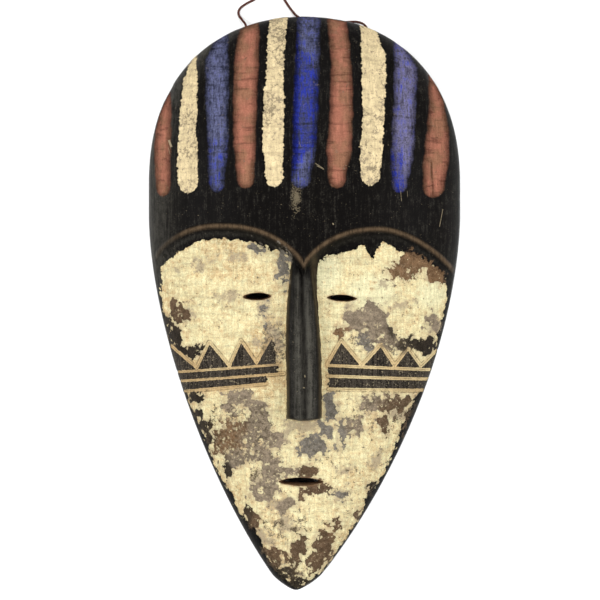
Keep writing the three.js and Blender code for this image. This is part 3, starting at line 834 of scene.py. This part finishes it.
def cheek_bands(x, y):
    """Distance inside the black bands and triangles between the cheek cuts."""
    bands = np.full_like(x, OUTSIDE)
    for lines, zigzag, sign, ends in ((LEFT_LINES, [*LEFT_ZIGZAG, (-13, -38)], -1, (-20, -18, -26.5)),
                                      (RIGHT_LINES, RIGHT_ZIGZAG, 1, (17, 16.6, 16.6))):
        edges = [np.interp(x, *zip(*zigzag))]
        edges += [a[1] + (x - a[0]) * (b[1] - a[1]) / (b[0] - a[0]) for a, b in lines]
        for upper, lower, scale, end in zip(edges, edges[1:], (0.7, 1, 1), ends):
            band = np.minimum(upper - y, y - lower) * scale
            band = np.minimum(band, (x - end) * sign * 0.9)
            bands = np.maximum(bands, np.where(x * sign > 0, band, OUTSIDE))
    return bands


def keep(name, values):
    """Store one value or colour for each vertex, for the material to read."""
    if values.ndim == 1:
        mask.data.attributes.new(name, "FLOAT", "POINT").data.foreach_set("value", clamp(values, -FAR, FAR))
    else:
        layer = mask.data.attributes.new(name, "FLOAT_COLOR", "POINT")
        layer.data.foreach_set("color", np.column_stack([values, np.ones(len(values))]).ravel())


# How far each point lies inside the paint, with the slits' lips and the cheek lines counted in.
x, y, z = corners_of(mask).T
front = smooth(1 - (front_height(x, y) - z - 0.4) / 0.8)
from_middle = np.abs(x - middle(y))
from_nose = (x - nose_middle(y)) / nose_half(y)
above = above_brow(x, y)
_, flute_edge, flute_kind = flutes(x, y)
face_edge = face_field(x, y)
bands = cheek_bands(x, y)
off_rim = from_middle < half_width(y) - 0.5
line_distance = np.where(off_rim, cut_distance(x, y), FAR)
field = np.minimum(face_edge, -bands)
field = np.maximum(field, (np.where(x < 0, LEFT_LINE_HALF, RIGHT_LINE_HALF) - line_distance) * 3)
lips = np.zeros_like(x)
for slit_x, slit_y, width, height, _, _, slope in SLITS:
    along = (x - slit_x) / width * 2
    gap = np.abs(y - slit_y - slope * (x - slit_x)) - height / 2 * slit_outline(along)
    gap = np.where(np.abs(along) < SLIT_REACH, gap, FAR)
    field = np.minimum(field, 5 * gap + 1.2)
    lips = np.maximum(lips, 0.6 * smooth(1 - gap / 0.5))
is_flute = flute_edge * 2 > field
is_chalk = is_flute * (flute_kind == CHALK)
keep("paint_edge", np.where(front > 0.5, np.maximum(field, flute_edge * 2), -FAR))
keep("paint_soft", is_flute * (flute_kind != CHALK) * 1.0)
keep("chalk", is_chalk * 1.0)
keep("red", is_flute * (flute_kind == RED_EARTH) * 1.0)
keep("blue", is_flute * (flute_kind >= BLUE) * 1.0)
keep("cut", line_distance)
keep("cream", smooth((line_distance - 1.6) / 1.4) * (y < 60))
keep("band", smooth(bands + 1) * off_rim)

# The cream is warmer toward its edges and over the left cheek, and paler in three places.
warm = 0.8 * hills(x, y, 16, 20, 12) + 0.3 * (x < 0) - 0.15
warm = warm + 0.5 * spot(x, y, 22, -145, 24, 18) + 0.45 * spot(x, y, -62, 40, 24, 13)
warm = warm + 0.5 * smooth((x + 31) / 8) * (x < 0) * stretch(y, -64, 15, 10, 6)
warm = smooth(warm + 0.8 * clamp(1 - field / 5))
cream = between(np.array(CREAM), np.array(CREAM_WARM), warm[:, None])
cream = between(cream, np.array(CREAM_PALE), smooth(patches(x, y, PALE_PLACES) / 8)[:, None])
keep("paint_colour", np.where(is_flute[:, None], np.array(PAINTS)[flute_kind], cream))

# The middle blue flute is darkest down its left side. The right red one was cut in two strokes,
# which left a crease between them; the crease is not carved, and its shade is painted as a dark line.
turn_x = -4.5 + 12 * stretch(y, 96, 182, 16, 18)
in_middle = (np.abs(x) < 15) * stretch(y, 84, 202, 14, 20)
deep = 0.45 * smooth((turn_x - x) / 6 + 0.5) + 0.35 * smooth((-3 - x) / 3)
deep = deep + 0.3 * smooth((x - 4) / 3) * stretch(y, 100, 168, 10, 14)
deep = 0.15 + deep * in_middle + 0.4 * (x > 50) * (x < 68) * smooth((112 - y) / 12)
deep = deep + 0.25 * (x > 50) * (x < 62) * smooth((y - 165) / 8)
deep = deep + (x < -50) * (0.12 * np.exp(-((y - 96) / 14) ** 2) - 0.3 * (y > 115))
keep("deep", deep)
crease_shade_line = 5 * (np.abs(x - 88.4 + (y - 90) * 0.05) + clamp((y - 97) / 6, 0, FAR))
crease_shade_line = np.where(x > 60, crease_shade_line, FAR)
keep("flute_edge", np.where(is_flute, np.minimum(flute_edge, crease_shade_line), FAR))

# Where the paint is worn through, what shows there, where it is only smeared or flecked, and
# where painted sheen and highlights lie grey on the black wood.
bend_x = x + 2.6 * hills(x, y, 8, 8, 21) + 1.2 * hills(x, y, 3.4, 3.4, 22)
bend_y = y + 2.6 * hills(x, y, 8, 8, 23) + 1.2 * hills(x, y, 3.4, 3.4, 24)
reaches = np.array([patches(bend_x, bend_y, places) for places in WORN.values()])
shares = np.exp(np.clip(reaches, -40, 40) / 1.5)
keep("worn_colour", (shares / shares.sum(axis=0)).T @ np.array(list(WORN)))
worn_through = np.minimum(reaches.max(axis=0), 1.2 - 2.5 * patches(x, y, ISLANDS))
worn_through = np.minimum(worn_through, face_edge + 2.5)
keep("worn", np.minimum(worn_through, 5 * line_distance - 7.5))
keep("smeared", np.where(y < 50, patches(bend_x, bend_y, SMEARED), -FAR))
speckled = 0.56 + 0.35 * smooth(hills(x, y, 14, 13, 30) + 0.3)
speckled = speckled + 0.35 * (spot(x, y, -21, 142, 8, 9) + spot(x, y, -81, 104, 8, 12))
flecked = np.where(is_chalk, speckled, 0.2 * is_flute)
for *place, amount in FLECKED:
    flecked = np.maximum(flecked, amount * smooth(reach_inside(x, y, place) * 2.2) * (y < 45))
flecked = np.maximum(flecked, 0.85 * smooth(1 - field / 4) * (y < -60))
keep("flecked", flecked)
keep("smudge", patches(x, y, SMUDGES))

# Painted sheen and highlights on the black wood: a grey sheen on the steep edges, far stronger on the left, a
# band of it in the cove under each brow, and a highlight down each ridge of the nose beside its groove.
in_nose = (np.abs(from_nose) < 1) & (y > NOSE_TIP_Y) & (y < 25)
ridges = 0.14 + 0.85 * np.exp(-((np.abs(from_nose - 0.04) - 0.32) / 0.24) ** 2)
ridges = ridges * between(0.6, 1, smooth((20 - y) / 60)) * smooth((25 - y) / 12)
edge_sheen = smooth((outness(x, y) - 0.74) / 0.24) * np.where(x < 0, 0.5, 0.07) * smooth((y + 10) / 20)
cove = np.exp(-((above + 5.2) / 1.7) ** 2) * np.where(x < -45, 0.30, 0.17) * smooth((np.abs(x) - 14) / 10)
keep("rubbed", np.where(in_nose, ridges, np.maximum(edge_sheen, cove) * (front > 0.5)))
nose_flank = smooth(1 - np.abs(np.abs(from_nose) - 0.98) / 0.24) * (y > NOSE_TIP_Y) * smooth((28 - y) / 8)
upper_flank = smooth(1 - np.abs(from_nose - 1.25) / 0.6) * stretch(y, -6, 38, 12, 10)
keep("nose_side", front * np.maximum(nose_flank, upper_flank))
# The bead's worn brown is lighter along its upper side and darker below it, a painted highlight and shade. It
# fades toward the far left and where it meets the outline.
bead_shade = (0.55 + 0.45 * smooth((above + 1.4) / 1.6)) * (1 - 0.7 * smooth((-80 - x) / 14))
bead_end = clamp((half_width(y) - from_middle) / 4)
keep("bead", front * np.exp(-((above + 0.1) / 1.7) ** 4) * bead_shade * bead_end)
inner = TOP_Y - WALL_INSET
in_back = from_middle < half_width(clamp(y, -inner, inner), WALL_INSET) + 0.3
keep("bare", np.maximum((1 - front) * in_back * (np.abs(y) < inner + 0.3) * (z > 0.5), lips))

# The wood was stained black and lightly waxed before it was painted. The stain is streaked along
# the grain, dusty and brown along the beads, and painted sheen lays grey over it at the edges, in
# the coves and on the nose. Inside, the wood is bare.
BLACK_STAIN = (0.0034, 0.0030, 0.0028, 1)
STAIN_STREAK = (0.021, 0.0192, 0.0158, 1)
SHEEN_GREY = (0.050, 0.047, 0.039, 1)
BAND_WOOD = (0.046, 0.038, 0.029, 1)
OLIVE_WOOD = (0.040, 0.030, 0.017, 1)
BEAD_WOOD = (0.078, 0.052, 0.030, 1)
OLD_CREAM = (0.30, 0.245, 0.155, 1)
BARE_WOOD = (0.19, 0.112, 0.060, 1)
BARE_DARK = (0.095, 0.052, 0.027, 1)


def flakes(tree, where, size):
    """Distance from the middle of the nearest of wavy flakes, each about size across."""
    waves = noise(tree, where, size / 1.7, 3.0, 0.6, "Color")
    scaled = vectors(tree, "MULTIPLY", where, (1 / size,) * 3).outputs[0]
    warped = vectors(tree, "MULTIPLY_ADD", waves, (0.8, 0.8, 0.8), scaled).outputs[0]
    return node(tree, "ShaderNodeTexVoronoi", {"Vector": warped, "Scale": 1.0}).outputs["Distance"]


look, tree, shader, where = new_material("painted_carved_wood")
grain = noise(tree, where, (1.1 * MM, 26 * MM, 3 * MM), 6.0, 0.65)
streak = noise(tree, where, (1.6 * MM, 11 * MM, 4 * MM), 5.0, 0.7)
chatter = noise(tree, where, (24 * MM, 3.0 * MM, 10 * MM), 4.0, 0.6)
cloud = noise(tree, where, 13 * MM, 3.0)
blots = noise(tree, where, 4.4 * MM, 6.0, 0.68)
nibble = noise(tree, where, 2.1 * MM, 5.0, 0.66)
dust = noise(tree, where, 1.3 * MM, 3.0, 0.6)
fine = noise(tree, where, 0.8 * MM, 5.0, 0.7)
wide_flakes = flakes(tree, where, 5.0 * MM)
small_flakes = flakes(tree, where, 2.2 * MM)


def kept(name, output="Fac"):
    """What keep() stored under this name."""
    return attribute(tree, name, output)


def scattered(value, *swings):
    """The value with each noise added, scaled by its swing and centred on nought."""
    for noisy, swing in swings:
        value = sums(tree, "MULTIPLY_ADD", noisy, swing, sums(tree, "ADD", value, -swing / 2))
    return value


def times(first, *others):
    """The product of all the values."""
    for other in others:
        first = sums(tree, "MULTIPLY", first, other)
    return first


def less(share):
    """What is left of a whole when share is gone."""
    return sums(tree, "SUBTRACT", 1.0, share)


def coat(under, colour, *shares):
    """A colour laid over what is under it, as thickly as the product of the shares."""
    return blend(tree, times(*shares), under, colour)


def shade(colour, amount):
    """The colour made darker or lighter by a factor."""
    grey = node(tree, "ShaderNodeCombineColor", {0: amount, 1: amount, 2: amount}).outputs[0]
    return blend(tree, 1.0, colour, grey, "MULTIPLY")


rough_streak = scattered(streak, (fine, 1.0), (grain, 0.6), (blots, 0.7))
wood = coat(BLACK_STAIN, STAIN_STREAK, ramp(tree, rough_streak, 0.5, 0.85))
# The painted sheen is grey laid over the stain, broken up along the grain.
sheen_patchiness = scattered(grain, (fine, 0.7), (blots, 0.6))
wood = coat(wood, SHEEN_GREY, kept("rubbed"), ramp(tree, sheen_patchiness, 0.3, 0.65, 0.3, 1.15))
wood = coat(wood, OLD_CREAM, ramp(tree, dust, 0.68, 0.74), 0.35)
band_streak = scattered(0.0, (fine, 2.0), (grain, 2.0))
wood = coat(wood, BAND_WOOD, kept("band"), ramp(tree, band_streak, -0.4, 0.3), 0.9)
chalk_dust = scattered(dust, (fine, 0.6), (blots, 0.7))
wood = coat(wood, OLD_CREAM, kept("band"), ramp(tree, chalk_dust, 0.62, 0.68), 0.4)
bead_rub = scattered(grain, (fine, 0.5), (blots, 0.8))
wood = coat(wood, BEAD_WOOD, kept("bead"), ramp(tree, bead_rub, 0.3, 0.65, 0.45, 1.0))
wood = coat(wood, OLIVE_WOOD, kept("nose_side"), ramp(tree, blots, 0.35, 0.6, 0.5, 1.0))
smudge = scattered(kept("smudge"), (blots, 8.0), (fine, 14.0))
wood = coat(wood, OLD_CREAM, ramp(tree, smudge, 0.0, 1.6), 0.3)
inside_wood = coat(BARE_DARK, BARE_WOOD, ramp(tree, grain, 0.35, 0.7))

# The paint is thin and chalky. It ends in lobes on the face and in teeth along the chalk flutes,
# and the red and blue ones fade into the black. It is brushed, flecked, pitted and smeared, and
# it carries painted shade: crosswise bands from the gouge's chatter, darker flute edges, and tan
# and olive lines in the cheek cuts.
GREY_COAT = (0.125, 0.10, 0.072, 1)
SMEAR_GREY = (0.235, 0.188, 0.126, 1)
LIGHT_CREAM = (0.60, 0.555, 0.335, 1)
TAN_CREAM = (0.37, 0.262, 0.135, 1)
DEEP_BLUE = (0.011, 0.017, 0.142, 1)
BROWN_EARTH = (0.178, 0.094, 0.053, 1)
HAZE = 0.5
# Each tone ramp is a noise, the span it steps over and the tones at its two ends. The chatter one is painted
# shade, in crosswise bands as from the gouge's chatter steps, laid over all the paint.
BRUSHED_AND_CHATTER_SHADE = [
    (fine, 0.3, 0.7, 0.76, 1.14), (blots, 0.3, 0.7, 0.9, 1.05), (grain, 0.35, 0.65, 0.90, 1.06),
    (streak, 0.35, 0.65, 0.86, 1.10), (chatter, 0.36, 0.5, 0.84, 1.03),
]
# Each olive line along the cheek cuts is given by its distance from the cut's middle, its half width and its
# strength. The middle one is painted shade in the bottom of the V; the ones at the edges are painted shade on
# the cut's walls mixed with wood showing where the paint stops.
CUT_WOOD_AND_SHADE_LINES = [(1.45, 0.6, 0.68), (0.1, 0.45, 0.5)]

soft = kept("paint_soft")
cream_area = kept("cream")
chalk = kept("chalk")
lobes = times(cream_area, sums(tree, "MULTIPLY_ADD", wide_flakes, -4.5, 2.2))
edge = scattered(sums(tree, "ADD", kept("paint_edge"), lobes), (nibble, 3.6), (fine, 2.0))
teeth = scattered(0.0, (small_flakes, -2.6), (nibble, 3.0), (chatter, 4.0))
edge = sums(tree, "MULTIPLY_ADD", ramp(tree, chalk, 0.4, 0.9), teeth, edge)
starts = sums(tree, "MULTIPLY_ADD", soft, -0.6, -0.1)
covers = sums(tree, "MULTIPLY_ADD", soft, 2.6, 0.25)
painted = ramp(tree, edge, starts, covers)

paint = coat(kept("paint_colour", "Color"), BROWN_EARTH, kept("red"), ramp(tree, cloud, 0.42, 0.62, 0.0, 0.7))
blue_tone = scattered(0.5, (streak, 1.4), (chatter, 0.6), (nibble, 0.8), (fine, 0.6))
pale_blue = shade(paint, ramp(tree, blue_tone, 0.2, 0.8, 0.45, 1.5))
deep_blue = shade(DEEP_BLUE, ramp(tree, blue_tone, 0.2, 0.8, 0.5, 1.6))
deep_share = scattered(kept("deep"), (streak, 3.0), (chatter, 1.4), (nibble, 1.0))
paint = coat(paint, coat(pale_blue, deep_blue, ramp(tree, deep_share, 0.0, 1.0)), kept("blue"))
tan = scattered(0.0, (blots, 2.4), (streak, 1.2), (fine, 1.2))
paint = coat(paint, TAN_CREAM, cream_area, ramp(tree, tan, 0.08, 0.45, 0.0, 0.85))
pale = scattered(0.0, (nibble, 1.4), (blots, -1.6), (fine, 1.2))
paint = coat(paint, LIGHT_CREAM, cream_area, ramp(tree, pale, -0.2, 0.35, 0.0, 0.85))
tone = times(*(ramp(tree, *brushed) for brushed in BRUSHED_AND_CHATTER_SHADE))
# The red and blue flutes get more of the chatter bands' painted shade.
tone = times(tone, less(times(soft, ramp(tree, chatter, 0.36, 0.41, 0.25, 0.0))))
# The red and blue flutes darken toward their edges and along the crease line: painted shade of the hollow
# flute, together with thinner paint at the edges.
flute_shadow = ramp(tree, scattered(kept("flute_edge"), (blots, 3.0)), 0.0, 6.0, 0.7, 0.0)
paint = shade(paint, times(tone, less(times(flute_shadow, soft))))

worn_place = kept("worn")
flecked = kept("flecked")
thin = ramp(tree, scattered(worn_place, (blots, 12.0), (fine, 12.0)), -3.5, 1.0)
paint = coat(paint, SMEAR_GREY, thin, HAZE)
smeared = scattered(kept("smeared"), (blots, 12.0), (wide_flakes, 7.0), (nibble, 14.0), (fine, 18.0))
paint = coat(paint, SMEAR_GREY, ramp(tree, smeared, -0.4, 1.4), 0.8)
fleck_colour = coat(OLIVE_WOOD, GREY_COAT, ramp(tree, cloud, 0.42, 0.58))
fleck_colour = coat(fleck_colour, SMEAR_GREY, chalk, 0.5)
flecks = scattered(flecked, (small_flakes, 0.9), (wide_flakes, 0.7), (blots, 2.2), (nibble, 2.4), (fine, 3.4))
paint = coat(paint, fleck_colour, ramp(tree, flecks, 0.95, 1.15), 0.85)
pits = ramp(tree, scattered(dust, (fine, 0.5), (blots, 0.4)), 0.64, 0.70, 0.0, 0.6)
paint = coat(paint, OLIVE_WOOD, pits, cream_area)
# The cheek cuts are tan down the middle and lined in olive: painted shade in the V and on its walls, with
# wood showing at its edges.
paint = coat(paint, TAN_CREAM, ramp(tree, kept("cut"), 0.3, 0.9, 0.4, 0.0))
for distance, half_line, strength in CUT_WOOD_AND_SHADE_LINES:
    off_line = sums(tree, "ABSOLUTE", scattered(sums(tree, "ADD", kept("cut"), -distance), (fine, 1.2)))
    broken = ramp(tree, blots, 0.40, 0.58, 0.2 * strength, strength)
    paint = coat(paint, OLIVE_WOOD, ramp(tree, off_line, 0.1, half_line, 1.0, 0.0), broken)

# Worn places have ragged edges and keep crumbs of cream. What shows in them is mottled.
worn_edge = scattered(worn_place, (blots, 9.0), (wide_flakes, 7.0), (small_flakes, 3.0), (nibble, 3.0),
                      (fine, 2.0))
crumbs = scattered(sums(tree, "MULTIPLY_ADD", flecked, 0.55, -0.15), (small_flakes, -1.1),
                   (wide_flakes, -0.9), (blots, 1.8), (nibble, 1.8), (fine, 2.2))
worn = times(ramp(tree, worn_edge, -0.2, 0.3), less(ramp(tree, crumbs, 0.6, 0.7)))
worn_tone = times(ramp(tree, blots, 0.32, 0.66, 0.62, 1.25), ramp(tree, fine, 0.3, 0.7, 0.65, 1.3))
worn_colour = shade(kept("worn_colour", "Color"), worn_tone)
pale_spots = ramp(tree, scattered(0.0, (nibble, 2.0), (fine, 1.6)), -0.05, 0.4, 0.0, 0.8)
pale_spots = times(pale_spots, ramp(tree, worn_colour, 0.03, 0.11, 0.25, 1.0))
worn_colour = coat(worn_colour, SMEAR_GREY, pale_spots, flecked)
dark_spots = scattered(0.0, (nibble, -2.0), (small_flakes, 0.8), (fine, 2.0))
worn_colour = coat(worn_colour, OLIVE_WOOD, ramp(tree, dark_spots, 0.14, 0.34, 0.0, 0.85), flecked)
paint = coat(paint, worn_colour, worn)
wood = coat(wood, worn_colour, ramp(tree, worn_edge, -0.3, 2.0), 0.75)
surface = coat(wood, paint, painted)

# Light scratches and small chips are short straight lines, each from one point to another. The
# last number widens a chip, or thins a scratch where it is negative.
nearest = FAR
for ax, ay, bx, by, widening in SCRATCHES:
    length = math.hypot(bx - ax, by - ay)
    ahead = ((bx - ax) / length / MM, (by - ay) / length / MM, 0)
    halfway = ((ax + bx) / 2 * MM, (ay + by) / 2 * MM, 0)
    offset = vectors(tree, "SUBTRACT", where, halfway).outputs[0]
    along = vectors(tree, "DOT_PRODUCT", offset, ahead).outputs["Value"]
    aside = vectors(tree, "DOT_PRODUCT", offset, (-ahead[1], ahead[0], 0)).outputs["Value"]
    beyond = sums(tree, "SUBTRACT", sums(tree, "ABSOLUTE", along), length / 2)
    outside = sums(tree, "MAXIMUM", beyond, sums(tree, "ABSOLUTE", aside))
    nearest = sums(tree, "MINIMUM", sums(tree, "SUBTRACT", outside, widening), nearest)
over_table = node(tree, "ShaderNodeSeparateXYZ", {0: where}).outputs["Z"]
scratched = ramp(tree, scattered(nearest, (fine, 0.5)), 0.1, 0.4, 0.65, 0.0)
surface = coat(surface, OLD_CREAM, scratched, ramp(tree, over_table, 3 * MM, 5 * MM))
surface = coat(surface, inside_wood, kept("bare"))
tree.links.new(surface, shader.inputs["Base Color"])

paint_left = times(painted, less(worn))
rough = sums(tree, "MULTIPLY_ADD", kept("bare"), 0.3, ramp(tree, paint_left, 0.0, 1.0, 0.4, 0.9))
rough = sums(tree, "ADD", rough, ramp(tree, fine, 0.3, 0.7, -0.05, 0.05))
tree.links.new(rough, shader.inputs["Roughness"])
shader.inputs["Specular IOR Level"].default_value = 0.016
lumps = bump(tree, grain, 0.25 * MM, 0.35)
lumps = bump(tree, fine, 0.12 * MM, 0.5, lumps)
tree.links.new(bump(tree, paint_left, 0.18 * MM, 0.7, lumps), shader.inputs["Normal"])

mask.data.materials.clear()
mask.data.materials.append(look)
bpy.ops.object.select_all(action="DESELECT")
bpy.context.view_layer.objects.active = mask
mask.select_set(True)
bpy.ops.object.shade_smooth_by_angle(angle=math.radians(50))
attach(mask, "root")
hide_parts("mask")

# The table is a plain white board, lit evenly from both sides and both ends, with nothing bright
# straight above, so that the black wood stays black.
FLOOR_SIZE = 8.0
FLOOR_WHITE = (0.94, 0.94, 0.94, 1)
LIGHT_SIZE = 1.4
LIGHTS = {
    "left_light": ((-1.5, 0.1, 1.4), 44), "right_light": ((1.5, 0.1, 1.4), 41),
    "far_light": ((0, 1.5, 1.5), 22), "near_light": ((0, -1.5, 1.5), 28),
}
ROOM_LIGHT = 0.1

bpy.ops.object.select_all(action="DESELECT")
bpy.ops.mesh.primitive_plane_add(size=FLOOR_SIZE, location=(0, 0, 0))
floor = bpy.context.object
floor.name = "floor"
floor_look, tree, shader, where = new_material("white_board")
shader.inputs["Base Color"].default_value = FLOOR_WHITE
shader.inputs["Roughness"].default_value = 0.9
shader.inputs["Specular IOR Level"].default_value = 0.2
floor.data.materials.append(floor_look)

for name, ((x, y, z), power) in LIGHTS.items():
    light_data = bpy.data.lights.new(name, "AREA")
    light_data.size = LIGHT_SIZE
    light_data.energy = power
    light = bpy.data.objects.new(name, light_data)
    light.location = (x, y, z)
    light.rotation_euler = (math.atan2(-y, z), math.atan2(x, math.hypot(y, z)), 0)
    bpy.context.scene.collection.objects.link(light)

world = bpy.data.worlds.new("studio")
world.use_nodes = True
background = world.node_tree.nodes["Background"]
background.inputs["Color"].default_value = (1, 1, 1, 1)
background.inputs["Strength"].default_value = ROOM_LIGHT
bpy.context.scene.world = world
bpy.context.scene.view_settings.view_transform = "Standard"
